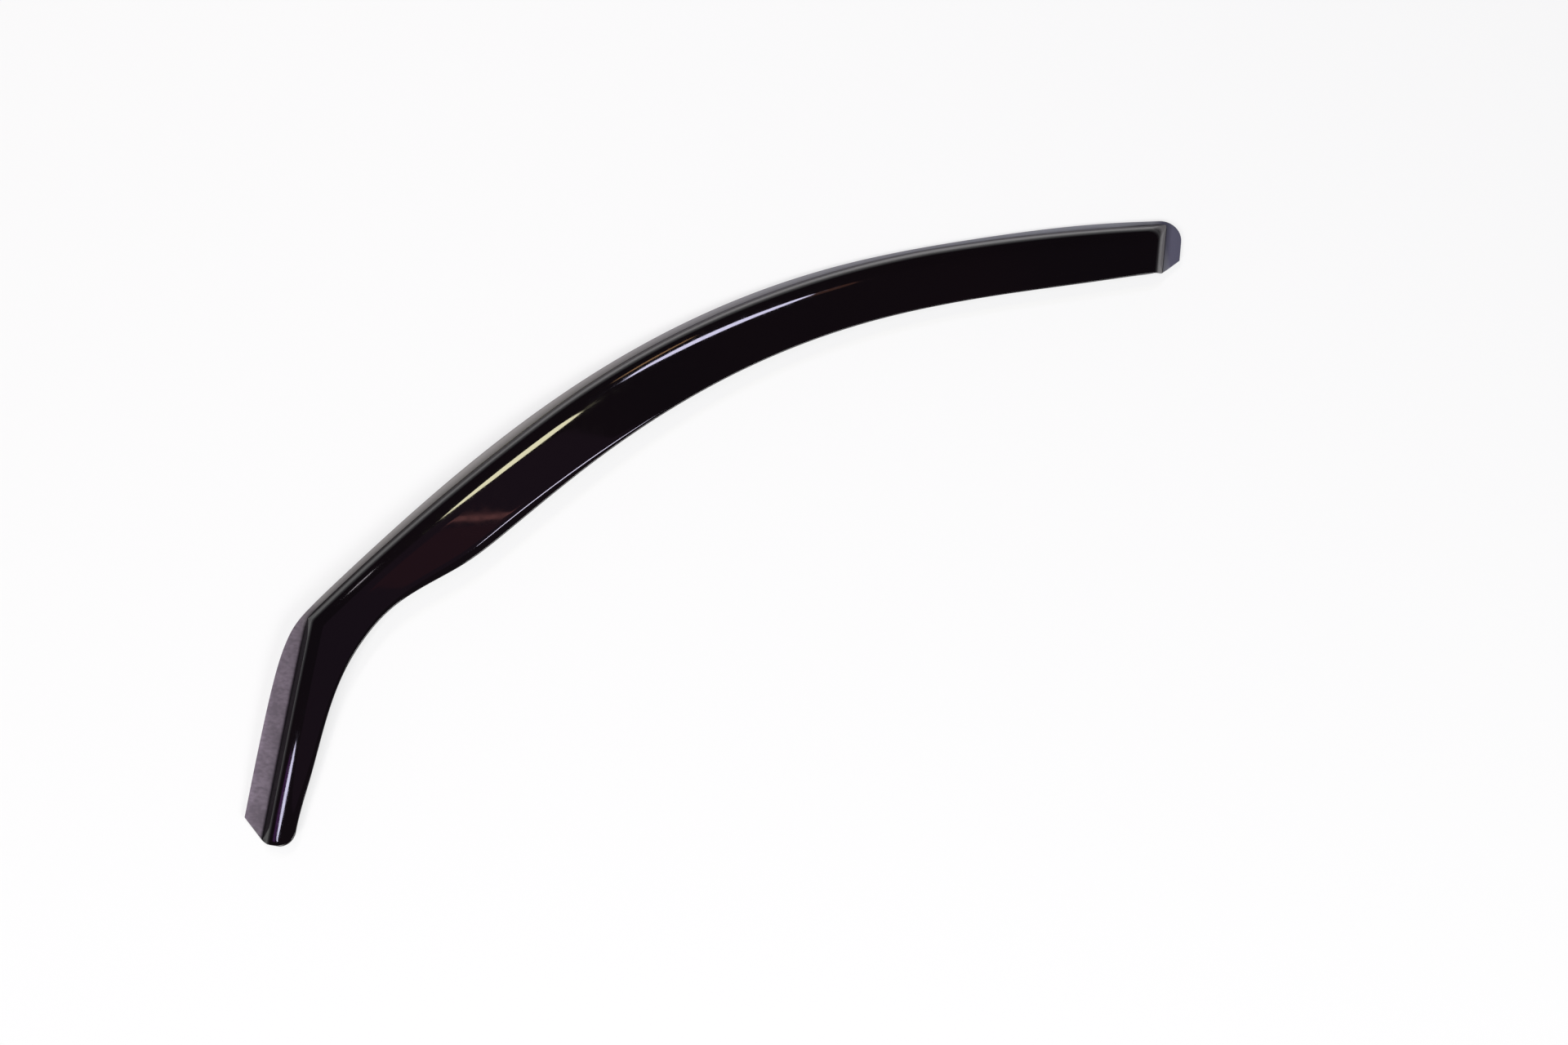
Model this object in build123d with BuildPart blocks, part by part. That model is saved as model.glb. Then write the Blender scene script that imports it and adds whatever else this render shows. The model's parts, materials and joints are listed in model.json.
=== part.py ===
from build123d import *
import os
from math import degrees, sqrt

# Window rain deflector for a left front door, moulded in one piece from smoked acrylic.
# A thin flange goes up into the window channel, a sloped step stands off it, and the face
# hangs outside the glass with its lower edge free.
# It lies face up. Plan sketches look square at the door glass, with +X to the rear along the
# roof and +Y up the window, and start at the kink, where the front leg turns down.
# Lengths are in millimetres and angles in degrees, counted from +X.

# Door glass, curved about the length of the car: its radius, its highest line and how far that
# stands off the floor
glass_radius = 2400.0
glass_middle = 39.2
glass_bulge = 12.6

# Step line on the floor, from which the step leans in over the bulge of the glass.
# Three tangent arcs go from the kink to the rear corner
pillar_heading = 39.16
pillar_radius = 1922.0
pillar_sweep = 8.28
roof_radius = 845.0
roof_sweep = 27.65
rear_radius = 1679.0
rear_sweep = 7.86

# One arc goes down the front leg, and a straight line down the rear end
leg_heading = 254.17
leg_radius = 3718.0
leg_length = 207.2
rear_heading = 258.8
rear_length = 52.8

# Section
flange_thickness = 2.2
step_height = 9.0
step_run = 6.3
shoulder_radius = 10.0
face_thickness = 3.0
lip_round = 1.2

# Flange
leg_flange = 19.8
rear_flange = 15.2
rear_flange_round = 19.0
flange_tip_round = 4.0
# Width along the roof, by share of the way from the kink to the rear corner
roof_flange = {0.01: 5.3, 0.05: 5.5, 0.12: 6.1, 0.23: 7.5, 0.36: 6.4, 0.50: 5.9, 0.65: 4.5,
               0.80: 3.4, 0.955: 4.9}
# Share of the leg's width left at the rounded front corner, by share of the way down the leg
front_corner = {0.49: 0.98, 0.29: 0.92, 0.11: 0.68, 0.05: 0.46}

# Face, its width from the step's foot to the lower edge, by share of the way from the kink
roof_face = {0.93: 55.2, 0.83: 58.0, 0.66: 60.4, 0.50: 62.9, 0.33: 66.0, 0.205: 66.7, 0.155: 63.6}
kink_face = {0.11: 55.1, 0.066: 49.4, 0.022: 53.5}
leg_face = {0.20: 45.8, 0.39: 38.2, 0.69: 33.3}
leg_tip_width = 29.5
leg_tip_round = 15.0
leg_heel_round = 4.5
rear_heel_round = 2.0

# How far shapes that are cut away run past the piece
overrun = 60.0

slope = step_run / step_height
face_top = flange_thickness + step_height

def heading(angle):
    return Vector(1, 0).rotate(Axis.Z, angle)

# Step line on the floor
with BuildLine() as step_line:
    pillar = JernArc((0, 0), heading(pillar_heading), pillar_radius, -pillar_sweep)
    roof = JernArc(pillar @ 1, pillar % 1, roof_radius, -roof_sweep)
    rear = JernArc(roof @ 1, roof % 1, rear_radius, -rear_sweep)
with BuildLine() as leg_line:
    leg = JernArc((0, 0), heading(leg_heading), leg_radius, degrees((leg_length + overrun) / leg_radius))
with BuildLine() as rear_line:
    rear_end = Line(rear @ 1, rear @ 1 + heading(rear_heading) * (rear_length + overrun))
roof_line = step_line.wire()

# Height of the glass above the floor
def bulge(up):
    return glass_bulge - glass_radius + sqrt(glass_radius**2 - (up - glass_middle) ** 2)

# Points beside the foot of the step, inward being towards the lower edge. The foot lies inside
# the line on the floor, and down the leg it is straight
def by_foot(floor, ahead, inward=0):
    lean = slope * (bulge(floor.Y) + flange_thickness)
    return floor + Vector(ahead.Y, -ahead.X) * (lean + inward)

def by_roof(share, inward):
    return by_foot(roof_line @ share, roof_line % share, inward)

def by_rear(down, inward):
    return by_foot(rear @ 1 + rear_end % 0 * down, rear_end % 0, inward)

leg_top = by_foot(leg @ 0, leg % 0 * -1)
leg_way = (by_foot(leg @ 1, leg % 1 * -1) - leg_top).normalized()

def by_leg(down, inward):
    return leg_top + leg_way * down + Vector(-leg_way.Y, leg_way.X) * inward

# Feet of the step, and the flange tips, from which the flange is cut back to those feet
leg_foot = by_leg(leg_length, 0)
leg_flange_tip = by_leg(leg_length - leg_flange, -leg_flange)
rear_foot = by_rear(rear_length, 0)
rear_flange_tip = by_rear(rear_length - rear_flange, -rear_flange)

# Everything inside the flange's outer edge: leg, rounded front corner, roof, rear end
with BuildSketch() as upper_side:
    with BuildLine():
        leg_edge = Line(by_leg(leg_length + overrun, -leg_flange), leg_flange_tip)
        roof_edge = Spline(
            leg_edge @ 1,
            *[by_leg(leg_length * share, -leg_flange * left) for share, left in front_corner.items()],
            *[by_roof(share, -width) for share, width in roof_flange.items()],
            tangents=(leg_edge % 1, roof_line % 1),
        )
        rear_ends = by_rear(-overrun, -rear_flange), by_rear(rear_length + overrun, -rear_flange)
        rear_edge = Line(*rear_ends, mode=Mode.PRIVATE)
        roof_end = IntersectingLine(roof_edge @ 1, roof_edge % 1, rear_edge)
        Polyline(roof_end @ 1, rear_edge @ 1, leg_edge @ 0)
    make_face()
    fillet(upper_side.vertices().sort_by_distance(roof_end @ 1)[0], rear_flange_round)

# Everything above the lower edge: rear flange cut, free edge of the face, leg tip, leg flange cut
with BuildSketch() as lower_side:
    with BuildLine():
        rear_cut = Line(rear_foot + (rear_flange_tip - rear_foot).normalized() * overrun, rear_foot)
        free_edge = Spline(
            rear_cut @ 1,
            *[by_roof(share, width) for share, width in (roof_face | kink_face).items()],
            *[by_leg(leg_length * share, width) for share, width in leg_face.items()],
            by_leg(leg_length - leg_tip_round, leg_tip_width),
            tangents=(roof_line % 1 * -1, leg_way),
        )
        leg_tip = JernArc(free_edge @ 1, free_edge % 1, leg_tip_round, -90)
        Line(leg_tip @ 1, leg_foot)
        leg_cut = Line(leg_foot, leg_foot + (leg_flange_tip - leg_foot).normalized() * overrun)
        above = roof_line.bounding_box().max.Y + overrun
        Polyline(leg_cut @ 1, ((leg_cut @ 1).X, above), ((rear_cut @ 0).X, above), rear_cut @ 0)
    make_face()
    fillet(lower_side.vertices().sort_by_distance(leg_foot)[0], leg_heel_round)
    fillet(lower_side.vertices().sort_by_distance(rear_foot)[0], rear_heel_round)

# Everything up to a height above the outer surface of the glass
def up_to(height, mode):
    glass_length = 2 * roof_line.bounding_box().max.X
    with Locations((0, glass_middle, glass_bulge - glass_radius)):
        Cylinder(glass_radius + height, 2 * glass_length, rotation=(0, 90, 0), mode=mode)

# Solid behind the sloped step, up to the rounded shoulder and the crown
def stepped_block(inset, top, shoulder):
    with BuildPart() as block:
        for level in (-overrun, overrun):
            with BuildSketch(Plane.XY.offset(level)):
                with BuildLine():
                    add(leg_line.line)
                    add(step_line.line)
                    add(rear_line.line)
                    Line(rear_end @ 1, leg @ 1)
                make_face()
                offset(amount=-inset - slope * level, kind=Kind.INTERSECTION)
        loft(ruled=True)
        up_to(top, Mode.INTERSECT)
        # The crown's longest edge only closes the block, and the others follow the step line
        crown = faces().sort_by(Axis.Z)[-1]
        fillet(crown.edges().sort_by(SortBy.LENGTH)[:-1], shoulder)
    return block.part

# The hollow keeps the face's thickness square to the step and to the crown
outer_form = stepped_block(0, face_top, shoulder_radius)
hollow_inset = face_thickness * sqrt(1 + slope**2)
hollow = stepped_block(hollow_inset, face_top - face_thickness, shoulder_radius - face_thickness)

# Cutting shape that leaves the free edge with a rounded lip
with BuildPart() as trim:
    extrude(lower_side.sketch, amount=overrun, both=True)
    up_to(face_top, Mode.INTERSECT)
    crown = faces().sort_by(Axis.Z)[-1]
    # Its straight and square edges lie outside the piece
    lip = crown.edges().filter_by(lambda edge: edge.geom_type not in (GeomType.LINE, GeomType.CIRCLE))
    fillet(lip, lip_round)

with BuildPart() as moulding:
    extrude(upper_side.sketch, amount=overrun, both=True)
    up_to(flange_thickness, Mode.INTERSECT)
    add(outer_form)
    add(trim.part, mode=Mode.INTERSECT)
    up_to(0, Mode.SUBTRACT)
    add(hollow, mode=Mode.SUBTRACT)
    for flange_tip in (leg_flange_tip, rear_flange_tip):
        fillet(moulding.edges().filter_by(Axis.Z).sort_by_distance(flange_tip)[0], flange_tip_round)

# Laid face up on a floor, with the origin under the middle of its box
box = moulding.part.bounding_box()
with BuildPart() as rain_deflector:
    with Locations((-box.center().X, -box.center().Y, -box.min.Z)):
        add(moulding.part)
rain_deflector.part.label = "rain_deflector"

os.makedirs("parts", exist_ok=True)
export_step(rain_deflector.part, "parts/rain_deflector.step")
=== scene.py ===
import json
import math
import bpy
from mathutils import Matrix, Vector
from mathutils.geometry import intersect_point_line
from mathutils.kdtree import KDTree

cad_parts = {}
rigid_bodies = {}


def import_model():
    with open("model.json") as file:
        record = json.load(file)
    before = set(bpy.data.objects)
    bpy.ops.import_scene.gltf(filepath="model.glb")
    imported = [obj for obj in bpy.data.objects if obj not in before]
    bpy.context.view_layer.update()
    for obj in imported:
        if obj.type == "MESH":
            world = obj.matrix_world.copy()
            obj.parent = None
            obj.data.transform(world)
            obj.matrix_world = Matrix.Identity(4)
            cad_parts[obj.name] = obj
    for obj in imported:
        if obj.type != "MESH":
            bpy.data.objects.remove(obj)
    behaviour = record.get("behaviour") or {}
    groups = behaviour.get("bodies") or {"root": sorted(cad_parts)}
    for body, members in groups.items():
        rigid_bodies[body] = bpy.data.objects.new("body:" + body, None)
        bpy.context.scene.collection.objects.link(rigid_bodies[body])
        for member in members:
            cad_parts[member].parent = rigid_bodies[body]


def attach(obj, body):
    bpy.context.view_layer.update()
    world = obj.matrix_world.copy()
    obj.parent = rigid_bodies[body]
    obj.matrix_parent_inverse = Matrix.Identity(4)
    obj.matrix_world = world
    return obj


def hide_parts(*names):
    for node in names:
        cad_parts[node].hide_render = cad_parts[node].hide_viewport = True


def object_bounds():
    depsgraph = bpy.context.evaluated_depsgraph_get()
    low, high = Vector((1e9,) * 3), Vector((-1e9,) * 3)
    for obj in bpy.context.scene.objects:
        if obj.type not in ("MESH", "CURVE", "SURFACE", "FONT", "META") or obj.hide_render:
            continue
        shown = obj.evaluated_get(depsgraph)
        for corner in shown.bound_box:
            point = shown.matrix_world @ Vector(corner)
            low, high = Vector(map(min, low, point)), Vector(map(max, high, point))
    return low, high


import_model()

mm = 0.001
cadLow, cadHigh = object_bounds()
print("frame loaded, box in mm", [round(side / mm, 1) for side in cadHigh - cadLow])


def heading(degrees):
    return Vector((math.cos(math.radians(degrees)), math.sin(math.radians(degrees)), 0))


# the moulding, in mm and degrees, drawn in plan from the kink where the front leg turns down
moulding = {
    "kinkFromCorner": (71.0, 200.3),     # from the low corner of the CAD box
    "pillarHeading": 38.7,
    "arcs": ((2294, 7.0, 70), (816, 28.8, 100), (1613, 7.66, 54)),  # radius, sweep, edges along it
    "legHeading": 253.5,
    "legLength": 204.6,
    "legHeel": 2.6,                      # the heel is cut back at the step's root
    "legEdges": 50,
    "rearHeading": 255.4,
    "rearLength": 50,
    "rearLean": 19,                      # lean of the lower edge where it meets the rear end
    "flangeThickness": 2.2,
    "stepHeight": 9,
    "stepRun": 6.3,
    "faceThickness": 3,
    "shoulderRadius": 5,
    "rootRound": 1.5,                    # the root stays crisp at the corners
    "crestRound": 11,                    # while the face turns them softly
    "crownReach": 26,                    # from the root to where the face is level
    "crownRadius": 85,
    "lipReach": (5.5, 10.5),             # width of the roll along the free edge, and at its belly
    "belly": (0.2, 0.13),                # share of the way along the roof, and its spread
    "lipRadius": 24,
    "lipFade": 40,                       # the roll fades out over this length at both ends
    "cornerEase": 6,                     # eases the crown where the leg or the rear end meets the roof
    "cornerEdges": 12,
    "tipEdges": 5,
    "shoulderEdges": 10,
    "faceRows": 44,
    "hem": 2,                            # the row along the free edge, with room to round that edge
    "flangeRows": 3,
    "kinkSpan": 6,                       # length of flange that fans out from the kink, each way
    "glassRadius": 2400,
    "lipRound": (1.0, 4),                # radius, edges across it
    "edgeRound": (0.4, 2),
    "sharpFrom": 65,                     # edges that turn more than this are rounded
    "smoothUpTo": 35,                    # and those that turn less are shaded smooth
    "mergeGap": 0.01,                    # points closer than this are one
    # flange widths: down the leg, then by share of the way along the roof
    "legFlange": ((184.2, 19.8), (100, 19.4), (60, 18.3), (23, 14.1), (10, 10.4)),
    "roofFlange": ((0.01, 5.3), (0.05, 5.7), (0.12, 6.4), (0.23, 7.7), (0.36, 6.6), (0.50, 6.1),
                   (0.65, 4.8), (0.80, 3.6), (0.955, 4.7)),
    "rearFlange": 15.2,
    "rearFlangeRound": 19,
    # face widths, from the step's root to the free edge
    "legTip": (29.5, 15),                # width, round
    "freeEnd": 1.0,                      # heading of the free edge as it meets the rear end
    "legFace": ((140.8, 33.2), (79.6, 38.0), (40.8, 45.2)),
    "roofFace": ((0.022, 53.1), (0.066, 49.4), (0.11, 55.5), (0.155, 64.0), (0.205, 66.5), (0.33, 65.8),
                 (0.50, 62.6), (0.66, 60.1), (0.83, 58.3), (0.93, 54.9)),
}
m = moulding
tipWidth, tipRound = m["legTip"]
legWay = heading(m["legHeading"])
legInward = heading(m["legHeading"] + 90)
rearWay = heading(m["rearHeading"])
rearInward = heading(m["rearHeading"] - 90)
rearFaces = m["rearHeading"] - 270       # heading out of the rear end

# centres of the three tangent arcs of the step's root, and where each starts
arcs = []
start, way = Vector((0, 0, 0)), m["pillarHeading"]
for radius, sweep, edges in m["arcs"]:
    centre = start + heading(way - 90) * radius
    arcs.append({"centre": centre, "radius": radius, "way": way, "sweep": sweep, "edges": edges,
                 "length": radius * math.radians(sweep)})
    way -= sweep
    start = centre + heading(way + 90) * radius
rearCorner, rearTurn = start, way
roofLength = sum(arc["length"] for arc in arcs)


def roofPoint(distance, inward):
    for arc in arcs:
        if distance <= arc["length"] or arc is arcs[-1]:
            out = heading(arc["way"] + 90 - math.degrees(distance / arc["radius"]))
            return arc["centre"] + out * (arc["radius"] - inward)
        distance -= arc["length"]


def legPoint(down, inward):
    return legWay * down + legInward * inward


def rearPoint(down, inward):
    return rearCorner + rearWay * down + rearInward * inward


def legEnd(inward):
    # cut back at the heel, straight, then round at the tip
    if inward == 0:
        return m["legLength"] - m["legHeel"]
    beside = max(inward - tipWidth + tipRound, 0)
    return m["legLength"] - tipRound + math.sqrt(tipRound ** 2 - beside ** 2)


def rearEnd(inward):
    return m["rearLength"] + inward * math.tan(math.radians(m["rearLean"]))


def cornerCentre(base, along, across, arc, reach):
    # the point that lies a reach inside both a straight line and an arc
    fromArc = base + across * reach - arc["centre"]
    half = fromArc.dot(along)
    gap = fromArc.length_squared - (arc["radius"] - reach) ** 2
    roots = [-half + sign * math.sqrt(half * half - gap) for sign in (1, -1)]
    return base + across * reach + along * min(roots, key=abs)


def turn(centre, startWay, endWay, radius, edges):
    step = (endWay - startWay) / edges
    return [centre + heading(startWay + step * i) * radius for i in range(1, edges + 1)]


def angleOf(vector):
    return math.degrees(math.atan2(vector.y, vector.x))


def rowShares(length):
    # where the rows cross a line that runs across the face, the last of them being the hem
    rows = m["faceRows"] - 1
    return [(1 - m["hem"] / length) * (i + 1) / rows for i in range(rows)] + [1]


def stepRail(inset, cornerRound):
    # plan points of a line that runs inside the step's root, from the leg's end to the rear end
    reach = inset + cornerRound
    kinkCentre = cornerCentre(Vector((0, 0, 0)), legWay, legInward, arcs[0], reach)
    rearCentre = cornerCentre(rearCorner, rearWay, rearInward, arcs[-1], reach)
    points = [legPoint(legEnd(inset), inset)]
    legTop = kinkCentre - legInward * cornerRound
    points += [points[0].lerp(legTop, (i + 1) / m["legEdges"]) for i in range(m["legEdges"])]
    kinkWay = angleOf(kinkCentre - arcs[0]["centre"])
    points += turn(kinkCentre, m["legHeading"] - 90, kinkWay, cornerRound, m["cornerEdges"])
    rearWayOut = angleOf(rearCentre - arcs[-1]["centre"])
    for arc in arcs:
        first = kinkWay if arc is arcs[0] else arc["way"] + 90
        last = rearWayOut if arc is arcs[-1] else arc["way"] + 90 - arc["sweep"]
        points += turn(arc["centre"], first, last, arc["radius"] - inset, arc["edges"])
    points += turn(rearCentre, rearWayOut, rearFaces, cornerRound, m["cornerEdges"])
    foot = rearPoint(rearEnd(inset), inset)
    rearTop = points[-1]
    points += [rearTop.lerp(foot, share) for share in rowShares((foot - rearTop).length)]
    return points


def smoothLine(knots, places, startWay, endWay):
    # points along an even curve through knots, which are (place, point) pairs, leaving and ending
    # in the given ways; a place between two knots gives the share of that span
    points = [point for place, point in knots]
    spans = [after - before for before, after in zip(points, points[1:])]
    lengths = [span.length for span in spans]
    slopes = [startWay] + [(a + b).normalized() for a, b in zip(spans, spans[1:])] + [endWay]
    settle = 40                          # rounds, by which the slopes no longer change
    for number in range(settle):
        for i in range(1, len(spans)):
            a, b = 1 / lengths[i - 1], 1 / lengths[i]
            pull = spans[i - 1] * 3 * a * a + spans[i] * 3 * b * b
            slopes[i] = (pull - slopes[i - 1] * a - slopes[i + 1] * b) / (2 * (a + b))
    line = []
    for place in places:
        i = max(j for j in range(len(spans)) if knots[j][0] <= place or j == 0)
        t = (place - knots[i][0]) / (knots[i + 1][0] - knots[i][0])
        line.append(points[i] * (1 + 2 * t) * (1 - t) ** 2 + slopes[i] * lengths[i] * t * (1 - t) ** 2
                    + points[i + 1] * t * t * (3 - 2 * t) - slopes[i + 1] * lengths[i] * t * t * (1 - t))
    return line


# places along the step line, in mm from the kink and minus down the leg
cornerInset = m["stepRun"] + m["crestRound"]   # this far in, the face's corners close to points
rearSpan = cornerInset / math.tan(math.radians((360 + rearTurn - m["rearHeading"]) / 2))


def roofPlaces(first, end):
    places = []
    reached = 0
    for arc in arcs:
        reached += arc["length"]
        last = end if arc is arcs[-1] else reached
        places += [first + (last - first) * (i + 1) / arc["edges"] for i in range(arc["edges"])]
        first = last
    return places


def roofKnots(widths, side):
    # side is 1 for the face and -1 for the flange
    return [(share * roofLength, roofPoint(share * roofLength, side * width)) for share, width in widths]


# outer edge of the flange: leg, rounded front corner, roof, rounded rear corner, rear end
roofOut = heading(rearTurn + 90)
lastShare, lastWidth = m["roofFlange"][-1]
rim = roofPoint(lastShare * roofLength, -lastWidth) - roofOut * m["rearFlangeRound"]
rimShift = m["rearFlangeRound"] - (rim - rearPoint(0, -m["rearFlange"])).dot(rearInward)
rimCentre = rim + heading(rearTurn) * rimShift / heading(rearTurn).dot(rearInward)
flangeKnots = [(-down, legPoint(down, -width)) for down, width in m["legFlange"]]
flangeKnots[0] = (-m["legLength"], flangeKnots[0][1])  # its tip is cut back from the step's foot
flangeKnots += roofKnots(m["roofFlange"], -1)
flangeKnots.append((roofLength, rimCentre + roofOut * m["rearFlangeRound"]))
legStep = (m["legLength"] - m["kinkSpan"]) / m["legEdges"]
places = [-m["legLength"] + legStep * i for i in range(m["legEdges"] + 1)]
places += [m["kinkSpan"] * (2 * (i + 1) / m["cornerEdges"] - 1) for i in range(m["cornerEdges"])]
places += roofPlaces(m["kinkSpan"], roofLength)
outerLine = smoothLine(flangeKnots, places, -legWay, heading(rearTurn))
outerLine += turn(rimCentre, rearTurn + 90, rearFaces, m["rearFlangeRound"], m["cornerEdges"])
rimEnd = outerLine[-1]
flangeTip = rearPoint(m["rearLength"] - m["rearFlange"], -m["rearFlange"])
outerLine += [rimEnd.lerp(flangeTip, share) for share in rowShares((flangeTip - rimEnd).length)]

# free edge of the face: half of the leg's round tip, then a smooth curve to the rear end
tipCentre = legPoint(m["legLength"] - tipRound, tipWidth - tipRound)
freeLine = [tipCentre + heading(m["legHeading"] + 45) * tipRound]
freeLine += turn(tipCentre, m["legHeading"] + 45, m["legHeading"] + 90, tipRound, m["tipEdges"])
restEdges = m["legEdges"] - m["tipEdges"]
tipPlace = -m["legLength"] * restEdges / m["legEdges"]
freeKnots = [(tipPlace, freeLine[-1])]
freeKnots += [(-down, legPoint(down, width)) for down, width in m["legFace"]]
freeKnots += roofKnots(m["roofFace"], 1)
freeKnots.append((roofLength - rearSpan, rearPoint(rearEnd(cornerInset), cornerInset)))
places = [tipPlace * (1 - (i + 1) / restEdges) for i in range(restEdges)]
places += roofPlaces(0, roofLength - rearSpan)
freeLine += smoothLine(freeKnots, places, -legWay, heading(m["freeEnd"]))

# lines along the step, of which the inner one meets the face
rootLine = stepRail(0, m["rootRound"])
crestLine = stepRail(m["stepRun"], m["crestRound"])
innerLine = stepRail(cornerInset, 0)
kinkStart = m["legEdges"] + 1
rearStart = len(innerLine) - m["faceRows"] - m["cornerEdges"]
faceLine = innerLine[:kinkStart] + innerLine[kinkStart + m["cornerEdges"]:rearStart]
hemLine = [edge + (inside - edge).normalized() * m["hem"] for inside, edge in zip(faceLine, freeLine)]
print("lines drawn:", len(rootLine), "points along the step,", len(freeLine), "along the free edge")


def deselect():
    bpy.ops.mesh.select_all(action="DESELECT")


def keepAs(name):
    piece.vertex_groups.new(name=name)
    bpy.ops.object.vertex_group_assign()


def pick(*groups):
    deselect()
    for name in groups:
        bpy.ops.object.vertex_group_set_active(group=name)
        bpy.ops.object.vertex_group_select()


def drawLine(name, points, height):
    # a chain of edges, extruded from point to point
    spots = [Vector((p.x, p.y, height)) * mm for p in points]
    deselect()
    bpy.ops.mesh.primitive_plane_add(size=mm, location=spots[0])
    bpy.ops.mesh.merge(type="CENTER")
    for before, after in zip(spots, spots[1:]):
        bpy.ops.mesh.extrude_region_move(TRANSFORM_OT_translate={"value": after - before})
    bpy.ops.mesh.select_linked()
    keepAs(name)


def bridge(first, second, rows=1):
    pick(first, second)
    bpy.ops.mesh.bridge_edge_loops(number_cuts=rows - 1, interpolation="LINEAR")


def colour(code):
    # an sRGB hex value as the linear colour that a shader takes
    channels = [int(code[i:i + 2], 16) / 255 for i in (1, 3, 5)]
    return [c / 12.92 if c <= 0.04045 else ((c + 0.055) / 1.055) ** 2.4 for c in channels] + [1]


def addNode(tree, kind, inputs, **settings):
    # inputs are plain values, or sockets of other nodes to link from; a Mix node's are numbered,
    # 0 for the factor, 2 and 3 for two values, 6 and 7 for two colours, and its colour comes out of 2
    node = tree.nodes.new("ShaderNode" + kind)
    for name, value in settings.items():
        setattr(node, name, value)
    for socket, value in inputs.items():
        if isinstance(value, bpy.types.NodeSocket):
            tree.links.new(value, node.inputs[socket])
        else:
            node.inputs[socket].default_value = value
    return node


def newTree(owner):
    owner.use_nodes = True
    owner.node_tree.nodes.clear()
    return owner.node_tree


# smoked PMMA from a polished mould: near black with a plum cast, and mirror clear but for slow
# ripples and a trace of haze, which fray the edges of a highlight
polish = {
    "smoke": "#0a080c",
    "warmSmoke": "#120a0e",
    "cast": 240,             # mm between the two tints
    "ior": 1.49,
    "clear": 0.03,           # roughness
    "hazy": 0.07,
    "haze": 9,               # mm
    "hazeSpread": (0.35, 0.75),      # values of the noise that are clear and hazy
    "ripple": 45,            # mm
    "rippleDepth": 0.05,     # mm
    "wallSheen": "#6c6a6b",      # painted sheen: the step's wall is painted lighter where it mirrors the pale surroundings, more so towards the rear
    "wallSheenGrows": (-0.40, 0.05),     # m along the part
    "wallSheenEnds": (-6, -3.2),         # mm from the step's root
}
polishedAcrylic = bpy.data.materials.new("polishedSmokedAcrylic")
tree = newTree(polishedAcrylic)
coords = addNode(tree, "TexCoord", {}).outputs["Object"]
cast = addNode(tree, "TexNoise", {"Vector": coords, "Scale": 1 / (polish["cast"] * mm), "Detail": 1})
tint = addNode(tree, "Mix", {0: cast.outputs["Fac"], 6: colour(polish["smoke"]),
                             7: colour(polish["warmSmoke"])}, data_type="RGBA")
along = addNode(tree, "SeparateXYZ", {"Vector": coords}).outputs["X"]
gap = addNode(tree, "Attribute", {}, attribute_name="rootGap").outputs["Fac"]
# painted sheen: grey painted on the lower part of the step's wall, fading out towards its crest and
# growing towards the rear
wallSheenMask = addNode(tree, "MapRange", {"Value": along, "From Min": polish["wallSheenGrows"][0],
                                    "From Max": polish["wallSheenGrows"][1]})
wallSheenMask = addNode(tree, "MapRange", {"Value": gap, "From Min": polish["wallSheenEnds"][0],
                                    "From Max": polish["wallSheenEnds"][1], "To Max": wallSheenMask.outputs[0]})
tint = addNode(tree, "Mix", {0: wallSheenMask.outputs[0], 6: tint.outputs[2], 7: colour(polish["wallSheen"])},
               data_type="RGBA")
haze = addNode(tree, "TexNoise", {"Vector": coords, "Scale": 1 / (polish["haze"] * mm), "Detail": 3})
rough = addNode(tree, "MapRange", {"Value": haze.outputs["Fac"], "From Min": polish["hazeSpread"][0],
                                   "From Max": polish["hazeSpread"][1], "To Min": polish["clear"],
                                   "To Max": polish["hazy"]})
ripple = addNode(tree, "TexNoise", {"Vector": coords, "Scale": 1 / (polish["ripple"] * mm), "Detail": 2})
bump = addNode(tree, "Bump", {"Height": ripple.outputs["Fac"], "Distance": polish["rippleDepth"] * mm})
shader = addNode(tree, "BsdfPrincipled", {"Base Color": tint.outputs[2], "Roughness": rough.outputs[0],
                                          "IOR": polish["ior"], "Normal": bump.outputs["Normal"]})
addNode(tree, "OutputMaterial", {"Surface": shader.outputs[0]})

# the same PMMA, sanded by hand where it goes into the window channel: a satin grey bloom, plum and
# rubbed crosswise on the leg, and blue at the rear; beside the step it carries painted shade, a dark
# crease and a darker bloom, standing in for the dark wall that the flange mirrors
sanding = {
    "pillarBloom": "#8d8a8a",
    "roofBloom": "#8f9198",
    "rearBloom": "#575668",
    "legBloom": "#695f6a",
    # painted shade: the dark colour painted into the crease beside the step
    "crease": "#0b090c",
    "turnsBlue": (-0.15, 0.32),      # m along the part
    "legEnds": (-0.395, -0.372),
    "rearStarts": (0.432, 0.442),
    "roofCreaseShade": (0.1, 0.9),        # mm from the step's root, from painted crease shade to sanded
    "legCreaseShade": (0.2, 3.4),
    "creaseShadeFades": 0.7,              # share of the roof's painted crease shade that fades away towards the rear
    "creaseShadeReturns": (0.40, 0.425),  # m along the part, at the rear end
    "roofShade": ((0, 6), (0.4, 1)),         # mm from the root, and how much of the bloom's colour the painted shade leaves there
    "legShade": ((1, 15), (0.75, 1)),
    "rimShade": ((15, 19.5), (1, 1.35)),     # on the leg
    "rearShade": 0.75,               # how much of the bloom's colour the painted shade leaves beside the step towards the rear
    "rub": (2.8, 5),                 # mm along and across the leg
    "rubSpread": (0.15, 0.38),       # values of the noise that are rubbed off and left
    "rubShade": (0.84, 1.3),         # and how full the bloom is there
    "smudge": 13,                    # mm
    "grain": 0.9,                    # mm, coarser than real grit so that it shows
    "grainDepth": 0.012,             # mm
    "ior": 1.49,
    "satin": 0.42,                   # roughness
    "bare": 0.15,
}
sandedAcrylic = bpy.data.materials.new("sandedSmokedAcrylic")
tree = newTree(sandedAcrylic)
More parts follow.
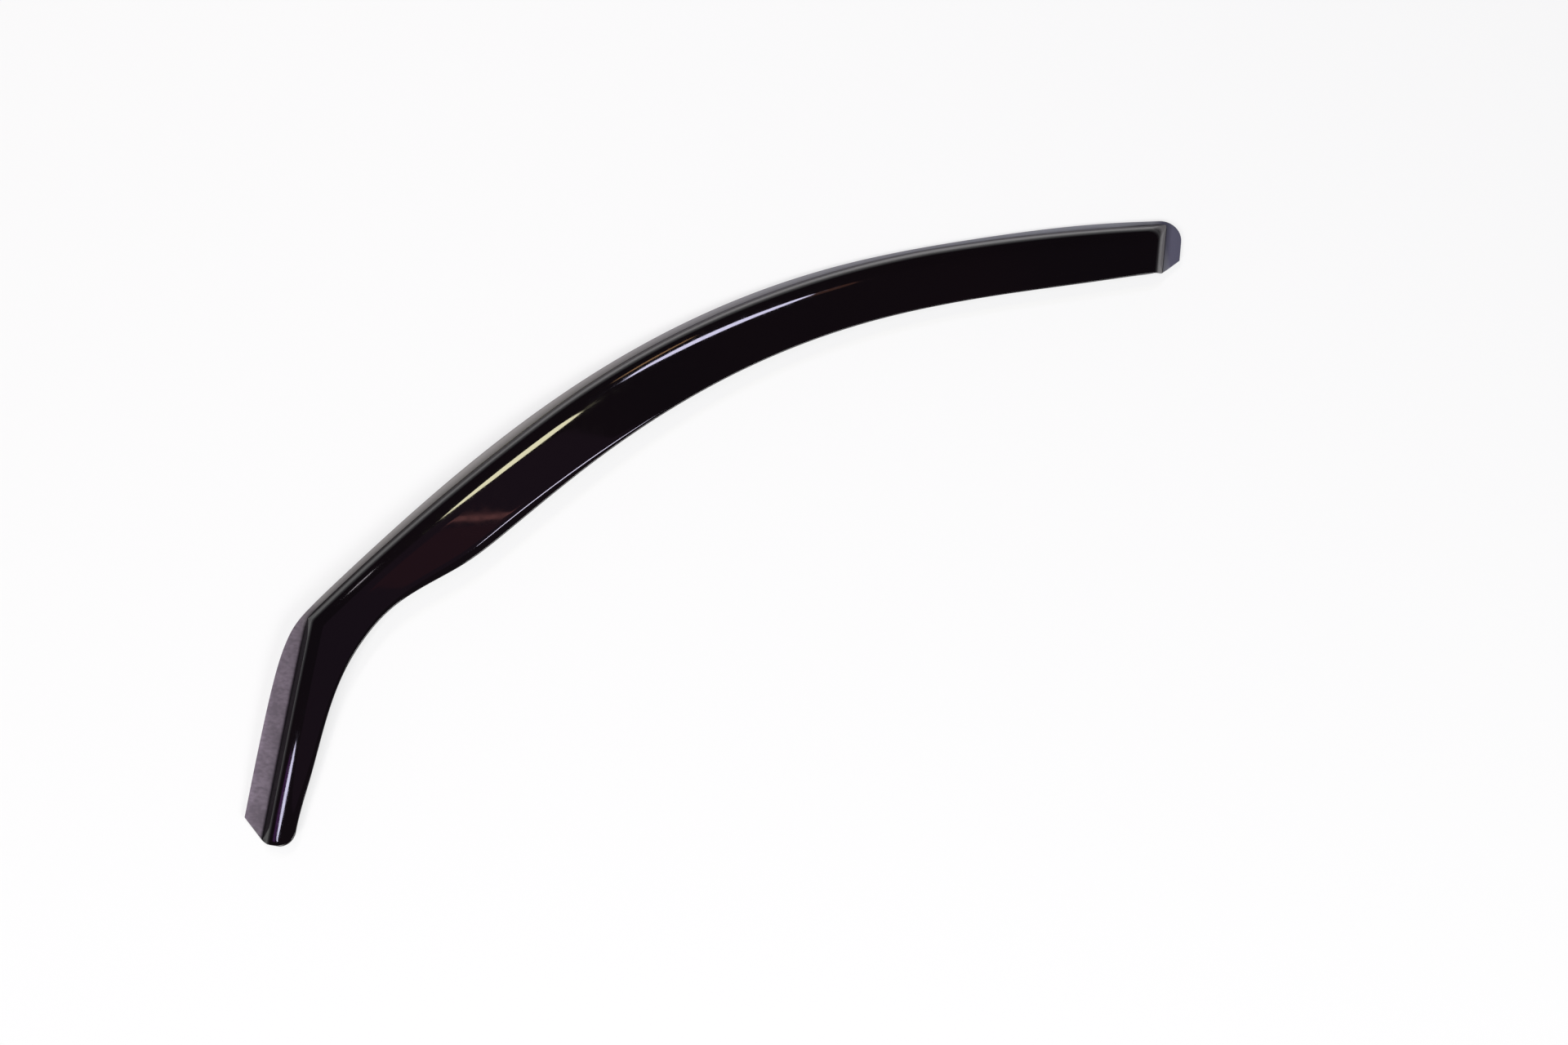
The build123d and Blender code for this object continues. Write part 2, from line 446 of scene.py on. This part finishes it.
coords = addNode(tree, "TexCoord", {}).outputs["Object"]
along = addNode(tree, "SeparateXYZ", {"Vector": coords}).outputs["X"]
gap = addNode(tree, "Attribute", {}, attribute_name="rootGap").outputs["Fac"]
blue = addNode(tree, "MapRange", {"Value": along, "From Min": sanding["turnsBlue"][0],
                                  "From Max": sanding["turnsBlue"][1]}, interpolation_type="SMOOTHSTEP")
onLeg = addNode(tree, "MapRange", {"Value": along, "From Min": sanding["legEnds"][0],
                                   "From Max": sanding["legEnds"][1], "To Min": 1, "To Max": 0})
atRear = addNode(tree, "MapRange", {"Value": along, "From Min": sanding["rearStarts"][0],
                                    "From Max": sanding["rearStarts"][1]})
bloom = addNode(tree, "Mix", {0: blue.outputs[0], 6: colour(sanding["pillarBloom"]),
                              7: colour(sanding["roofBloom"])}, data_type="RGBA")
bloom = addNode(tree, "Mix", {0: atRear.outputs[0], 6: bloom.outputs[2],
                              7: colour(sanding["rearBloom"])}, data_type="RGBA")
bloom = addNode(tree, "Mix", {0: onLeg.outputs[0], 6: bloom.outputs[2],
                              7: colour(sanding["legBloom"])}, data_type="RGBA")
# rubbing marks lie across the leg, and fade out along the roof
legTurn = addNode(tree, "Mapping", {"Vector": coords, "Rotation": (0, 0, math.radians(m["legHeading"])),
                                    "Scale": (sanding["rub"][0] * mm, sanding["rub"][1] * mm, 1)},
                  vector_type="TEXTURE")
rub = addNode(tree, "TexNoise", {"Vector": legTurn.outputs[0], "Scale": 1, "Detail": 1})
smudge = addNode(tree, "TexNoise", {"Vector": coords, "Scale": 1 / (sanding["smudge"] * mm),
                                    "Detail": 2})
rubbed = addNode(tree, "Math", {0: rub.outputs["Fac"], 1: smudge.outputs["Fac"]}, operation="MULTIPLY")
rubShade = addNode(tree, "MapRange", {"Value": rubbed.outputs[0], "From Min": sanding["rubSpread"][0],
                                      "From Max": sanding["rubSpread"][1],
                                      "To Min": sanding["rubShade"][0],
                                      "To Max": sanding["rubShade"][1]})
# painted shade: the bloom is painted darker beside the step, standing in for the dark wall that the
# flange mirrors, and lighter at the leg's rim; the shade evens out towards the rear
returns = addNode(tree, "MapRange", {"Value": along, "From Min": sanding["creaseShadeReturns"][0],
                                     "From Max": sanding["creaseShadeReturns"][1]})
farAlong = addNode(tree, "Math", {0: blue.outputs[0], 1: returns.outputs[0]}, operation="SUBTRACT",
                   use_clamp=True)
shades = {}
for name in ("roofShade", "legShade", "rimShade"):
    (near, far), (thin, full) = sanding[name]
    shades[name] = addNode(tree, "MapRange", {"Value": gap, "From Min": near, "From Max": far,
                                              "To Min": thin, "To Max": full})
evened = addNode(tree, "MapRange", {"Value": farAlong.outputs[0], "To Min": sanding["roofShade"][1][0],
                                    "To Max": sanding["rearShade"]})
tree.links.new(evened.outputs[0], shades["roofShade"].inputs["To Min"])
legShade = addNode(tree, "Math", {0: shades["legShade"].outputs[0], 1: shades["rimShade"].outputs[0]},
                   operation="MULTIPLY")
legShade = addNode(tree, "Math", {0: legShade.outputs[0], 1: rubShade.outputs[0]}, operation="MULTIPLY")
# painted shade across the flange: how much of the bloom's colour is left at each point
paintedShadeAcross = addNode(tree, "Mix", {0: onLeg.outputs[0], 2: shades["roofShade"].outputs[0],
                                 3: legShade.outputs[0]})
# painted shade in the crease beside the step, which is also left less rough; the painted shade fades
# towards the rear
creaseShades = {}
for name in ("roofCreaseShade", "legCreaseShade"):
    bareTo, sandedFrom = sanding[name]
    creaseShades[name] = addNode(tree, "MapRange", {"Value": gap, "From Min": bareTo, "From Max": sandedFrom},
                            interpolation_type="SMOOTHSTEP")
faded = addNode(tree, "Math", {0: farAlong.outputs[0], 1: sanding["creaseShadeFades"]}, operation="MULTIPLY")
tree.links.new(faded.outputs[0], creaseShades["roofCreaseShade"].inputs["To Min"])
sanded = addNode(tree, "Mix", {0: onLeg.outputs[0], 2: creaseShades["roofCreaseShade"].outputs[0],
                               3: creaseShades["legCreaseShade"].outputs[0]})
shade = addNode(tree, "VectorMath", {0: bloom.outputs[2], "Scale": paintedShadeAcross.outputs[0]},
                operation="SCALE")
# painted shade: the crease's dark colour is mixed in where the flange is not sanded
tint = addNode(tree, "Mix", {0: sanded.outputs[0], 6: colour(sanding["crease"]), 7: shade.outputs[0]},
               data_type="RGBA")
rough = addNode(tree, "Mix", {0: sanded.outputs[0], 2: sanding["bare"], 3: sanding["satin"]})
grain = addNode(tree, "TexNoise", {"Vector": coords, "Scale": 1 / (sanding["grain"] * mm), "Detail": 2})
bump = addNode(tree, "Bump", {"Height": grain.outputs["Fac"], "Distance": sanding["grainDepth"] * mm,
                              "Strength": sanded.outputs[0]})
shader = addNode(tree, "BsdfPrincipled", {"Base Color": tint.outputs[2], "Roughness": rough.outputs[0],
                                          "IOR": sanding["ior"], "Normal": bump.outputs["Normal"]})
addNode(tree, "OutputMaterial", {"Surface": shader.outputs[0]})
print("finishes ready: polished and sanded acrylic")

# the upper surface is drawn flat, as lines that are bridged, before the face gets its crown and roll
bpy.ops.object.select_all(action="DESELECT")
bpy.ops.mesh.primitive_plane_add(size=mm)
piece = bpy.context.object
piece.name = "rainDeflector"
bpy.ops.object.mode_set(mode="EDIT")
bpy.ops.mesh.delete(type="VERT")
flangeTop = m["flangeThickness"]
faceTop = flangeTop + m["stepHeight"]
drawLine("outer", outerLine, flangeTop)
drawLine("root", rootLine, flangeTop)
drawLine("crest", crestLine, faceTop)
drawLine("inner", innerLine, faceTop)
drawLine("face", faceLine, faceTop)
drawLine("hem", hemLine, faceTop)
drawLine("free", freeLine, faceTop)
# bridges of a single row come first, since cutting rows spreads the groups of the lines beside them
bridge("root", "crest")
bridge("crest", "inner")
bridge("hem", "free")
bridge("outer", "root", m["flangeRows"])
pick("outer", "root")
keepAs("flange")
bridge("face", "hem", m["faceRows"] - 1)
bpy.ops.mesh.select_all(action="SELECT")
bpy.ops.mesh.remove_doubles(threshold=m["mergeGap"] * mm)
bpy.ops.mesh.normals_make_consistent(inside=False)
pick("crest")
wallAngle = math.atan2(m["stepHeight"], m["stepRun"])
shoulder = m["shoulderRadius"] * math.tan(wallAngle / 2)
bpy.ops.mesh.bevel(offset=shoulder * mm, segments=m["shoulderEdges"], affect="EDGES")
bpy.ops.object.mode_set(mode="OBJECT")
mesh = piece.data
if mesh.polygons[0].normal.z < 0:        # an open sheet can come out facing down
    mesh.flip_normals()

# the last column of the leg is pushed out to its round tip
for vertex in mesh.vertices:
    spot = Vector((vertex.co.x, vertex.co.y, 0)) / mm
    foot, share = intersect_point_line(spot, faceLine[0], freeLine[0])
    if 0 < share < 1 and (spot - foot).length < m["mergeGap"]:
        spot = tipCentre + (spot - tipCentre).normalized() * tipRound
        vertex.co.x, vertex.co.y = spot.x * mm, spot.y * mm


def softMin(a, b, blend):
    overlap = max(blend - abs(a - b), 0)
    return min(a, b) - overlap * overlap / (4 * blend)


def insetOf(spot):
    # distance inside the step's root, eased where the leg or the rear end turns from the roof
    place = arcs[1]["way"] + 90 - angleOf(spot - arcs[1]["centre"])
    arc = arcs[0] if place < 0 else arcs[1] if place < arcs[1]["sweep"] else arcs[2]
    roof = arc["radius"] - (spot - arc["centre"]).length
    ends = min(spot.dot(legInward), (spot - rearCorner).dot(rearInward))
    return softMin(roof, ends, m["cornerEase"])


# finds the nearest point of the free edge
freeTree = KDTree(len(freeLine))
for i, spot in enumerate(freeLine):
    freeTree.insert(spot, i)
freeTree.balance()


def edgeGap(spot):
    # distance from the roll along the free edge, less than nothing inside it
    i, gap = freeTree.find(spot)[1:]
    for j in (max(i - 1, 0), min(i, len(freeLine) - 2)):
        foot, share = intersect_point_line(spot, freeLine[j], freeLine[j + 1])
        if 0 <= share <= 1:
            gap = min(gap, (spot - foot).length)
    share = (i - m["legEdges"]) / (len(freeLine) - m["legEdges"])
    low, high = m["lipReach"]
    middle, spread = m["belly"]
    return gap - low - (high - low) * math.exp(-((share - middle) / spread) ** 2)


# the face falls away a little towards the step, and rolls down at its free edge
for vertex in mesh.vertices:
    spot = Vector((vertex.co.x, vertex.co.y, 0)) / mm
    raised = (vertex.co.z / mm - flangeTop) / m["stepHeight"]    # from 0 on the flange to 1 on the face
    fall = max(m["crownReach"] - insetOf(spot), 0) ** 2 / (2 * m["crownRadius"])
    fade = min((spot - freeLine[0]).length, (spot - freeLine[-1]).length) / m["lipFade"]
    roll = max(-edgeGap(spot), 0) ** 2 / (2 * m["lipRadius"]) * min(fade, 1)
    vertex.co.z -= raised * (fall + roll) * mm

thickness = piece.modifiers.new("thickness", "SOLIDIFY")
thickness.thickness = m["faceThickness"] * mm
thickness.offset = -1                    # below what is drawn
thickness.use_even_offset = True
thickness.use_quality_normals = True
thickness.vertex_group = "flange"
thickness.invert_vertex_group = True
thickness.thickness_vertex_group = m["flangeThickness"] / m["faceThickness"]
bpy.ops.object.modifier_apply(modifier="thickness")
print("surface:", len(mesh.vertices), "points,", len(mesh.polygons), "faces")


def pickSharp():
    bpy.ops.object.mode_set(mode="EDIT")
    bpy.ops.mesh.select_mode(type="EDGE")
    deselect()
    bpy.ops.mesh.edges_select_sharp(sharpness=math.radians(m["sharpFrom"]))


def roundEdges(radius, edges):
    bpy.ops.mesh.bevel(offset=radius * mm, segments=edges, affect="EDGES", loop_slide=False)


# edges rounded: first the lip of the face, then whatever is still sharp
pickSharp()
bpy.ops.object.mode_set(mode="OBJECT")
lipFrom = (faceTop - m["faceThickness"]) * mm
for edge in mesh.edges:
    edge.select = edge.select and min(mesh.vertices[i].co.z for i in edge.vertices) > lipFrom
bpy.ops.object.mode_set(mode="EDIT")
roundEdges(*m["lipRound"])
pickSharp()
roundEdges(*m["edgeRound"])
bpy.ops.mesh.select_all(action="SELECT")
bpy.ops.mesh.remove_doubles(threshold=m["mergeGap"] * mm)
bpy.ops.mesh.dissolve_degenerate(threshold=m["mergeGap"] * mm)
bpy.ops.object.mode_set(mode="OBJECT")
print("edges rounded:", len(mesh.polygons), "faces")

# each point keeps its distance outside the step's root in mm, and what lies outside it is sanded
rootGap = mesh.attributes.new("rootGap", "FLOAT", "POINT")
for vertex in mesh.vertices:
    spot = Vector((vertex.co.x, vertex.co.y, 0)) / mm
    rootGap.data[vertex.index].value = -insetOf(spot)
mesh.materials.append(polishedAcrylic)
mesh.materials.append(sandedAcrylic)
for face in mesh.polygons:
    spot = Vector((face.center.x, face.center.y, 0)) / mm
    face.material_index = 1 if insetOf(spot) < 0 else 0

# laid on the door glass, which is curved about the length of the car
kink = Vector((cadLow.x, cadLow.y, 0)) + Vector((*m["kinkFromCorner"], 0)) * mm
for vertex in mesh.vertices:
    vertex.co += kink
    drop = m["glassRadius"] - math.sqrt(m["glassRadius"] ** 2 - (vertex.co.y / mm) ** 2)
    vertex.co.z += cadHigh.z - (faceTop + drop) * mm
bpy.ops.object.mode_set(mode="EDIT")
bpy.ops.mesh.select_all(action="SELECT")
bpy.ops.mesh.normals_make_consistent(inside=False)
bpy.ops.object.mode_set(mode="OBJECT")
bpy.ops.object.shade_smooth_by_angle(angle=math.radians(m["smoothUpTo"]))
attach(piece, "root")
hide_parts("rain_deflector")
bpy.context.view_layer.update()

# camera, in mm
view = {
    "aim": (438.4, 38.0, 0),             # from the kink
    "stands": (-50.7, -412.7, 1956.3),   # from what it aims at
    "lens": 50,
    "sensor": 36,
}
aim = kink + Vector(view["aim"]) * mm
bpy.ops.object.camera_add(location=aim + Vector(view["stands"]) * mm)
camera = bpy.context.object
camera.rotation_euler = (aim - camera.location).to_track_quat("-Z", "Y").to_euler()
camera.data.lens = view["lens"]
camera.data.sensor_width = view["sensor"]
camera.data.sensor_fit = "HORIZONTAL"
bpy.context.scene.camera = camera

# floor of white card, lit by the lamps near the part and pale to the horizon
studio = {
    "cardSize": 60,                  # m
    "card": "#f7f7f7",
    "cardFades": (2.5, 6),           # m from the part, from lit to glowing
    "evenness": 0.7,                 # share of plain white where the card is seen
    "walls": "#d8d8dc",
    "wallsEnd": 0.6,                 # top of the pale walls, as the sine of the angle above the floor
    "ceiling": 0.03,                 # brightness
}
bpy.ops.mesh.primitive_plane_add(size=studio["cardSize"])
floor = bpy.context.object
floor.name = "floor"
whiteCard = bpy.data.materials.new("mattWhiteCard")
tree = newTree(whiteCard)
coords = addNode(tree, "TexCoord", {}).outputs["Object"]
far = addNode(tree, "VectorMath", {0: coords}, operation="LENGTH")
glow = addNode(tree, "MapRange", {"Value": far.outputs["Value"], "From Min": studio["cardFades"][0],
                                  "From Max": studio["cardFades"][1]})
shader = addNode(tree, "BsdfPrincipled", {"Base Color": colour(studio["card"]), "Roughness": 1,
                                          "Specular IOR Level": 0,
                                          "Emission Color": colour(studio["card"]),
                                          "Emission Strength": glow.outputs[0]})
# seen straight or in a gloss, the card is evenly white, with a faint shadow
path = addNode(tree, "LightPath", {})
seen = addNode(tree, "Math", {0: path.outputs["Is Camera Ray"], 1: path.outputs["Is Glossy Ray"]},
               operation="ADD")
seen = addNode(tree, "Math", {0: seen.outputs[0], 1: path.outputs["Is Transmission Ray"]},
               operation="ADD", use_clamp=True)
even = addNode(tree, "Math", {0: seen.outputs[0], 1: studio["evenness"]}, operation="MULTIPLY")
white = addNode(tree, "Emission", {"Strength": 1})
mixed = addNode(tree, "MixShader", {0: even.outputs[0], 1: shader.outputs[0], 2: white.outputs[0]})
addNode(tree, "OutputMaterial", {"Surface": mixed.outputs[0]})
floor.data.materials.append(whiteCard)

# pale walls round a dark ceiling, which the face mirrors as black
world = bpy.data.worlds.new("studio")
bpy.context.scene.world = world
tree = newTree(world)
way = addNode(tree, "TexCoord", {}).outputs["Generated"]
height = addNode(tree, "SeparateXYZ", {"Vector": way}).outputs["Z"]
wall = addNode(tree, "MapRange", {"Value": height, "From Min": 0, "From Max": studio["wallsEnd"],
                                  "To Min": 1, "To Max": studio["ceiling"]},
               interpolation_type="SMOOTHSTEP")
light = addNode(tree, "Background", {"Color": colour(studio["walls"]), "Strength": wall.outputs[0]})
addNode(tree, "OutputWorld", {"Surface": light.outputs[0]})

# softboxes that light the part: place and size in m, watts, colour
softboxes = {
    "keyLeft": ((-1.7, -2.6, 2.6), (1.6, 1.6), 92, "#ffffff"),
    "keyRight": ((1.9, -2.6, 2.6), (1.6, 1.6), 92, "#ffffff"),
}
# small lamps and dim panels that the face mirrors: place and size in m, turn in degrees, brightness,
# colour; the panels hang higher, so that they don't hide the lamps
streaks = {
    "coolStreak": ((-0.13, 1.65, 2), (0.60, 0.36), 25, 22, "#dcd8f5"),
    "warmLine": ((-0.41, 1.90, 2), (0.36, 0.06), 47, 8, "#d9a878"),
    "warmTail": ((0.19, 1.70, 2), (0.16, 0.22), 0, 2, "#a06a55"),
    "yellowStreak": ((-0.59, 1.04, 2), (0.45, 0.32), 22, 20, "#f5efc8"),
    "shortLine": ((-1.18, 1.01, 2), (0.10, 0.04), 54, 10, "#e8dfe8"),
    "legStreak": ((-1.505, -0.12, 2), (0.12, 0.34), -10, 22, "#dcd8f5"),
    "legFringe": ((-1.64, -0.14, 2), (0.13, 0.40), -10, 1, "#d97bff"),
    "plumPanel": ((-0.65, 0.26, 2.1), (1.4, 1.2), 40, 0.1, "#e0a8e4"),
    "brownWedge": ((-0.445, 0.53, 2), (0.18, 0.022), -6, 1.7, "#ffa49c"),
    "maroonPanel": ((-0.52, 0.42, 2.05), (0.42, 0.20), 0, 0.12, "#ff6a50"),
    "lipLine": ((0.0, 0.09, 2), (0.47, 0.09), 54, 26, "#e2dcf5"),
}
for name, (place, size, watts, tone) in softboxes.items():
    bpy.ops.object.light_add(type="AREA", location=place)
    lamp = bpy.context.object
    lamp.name = name
    lamp.rotation_euler = (-lamp.location).to_track_quat("-Z", "Y").to_euler()
    lamp.data.shape = "RECTANGLE"
    lamp.data.size, lamp.data.size_y = size
    lamp.data.energy = watts
    lamp.data.color = colour(tone)[:3]
for name, (place, size, turned, brightness, tone) in streaks.items():
    bpy.ops.object.light_add(type="AREA", location=place, rotation=(0, 0, math.radians(turned)))
    lamp = bpy.context.object
    lamp.name = name
    lamp.data.shape = "ELLIPSE"
    lamp.data.size, lamp.data.size_y = size
    area = math.pi / 4 * size[0] * size[1]
    lamp.data.energy = brightness * math.pi * area       # watts that look this bright in a mirror
    lamp.data.color = colour(tone)[:3]
print("lamps:", len(softboxes), "softboxes and", len(streaks), "small ones that the face mirrors")

bpy.context.scene.view_settings.view_transform = "Standard"
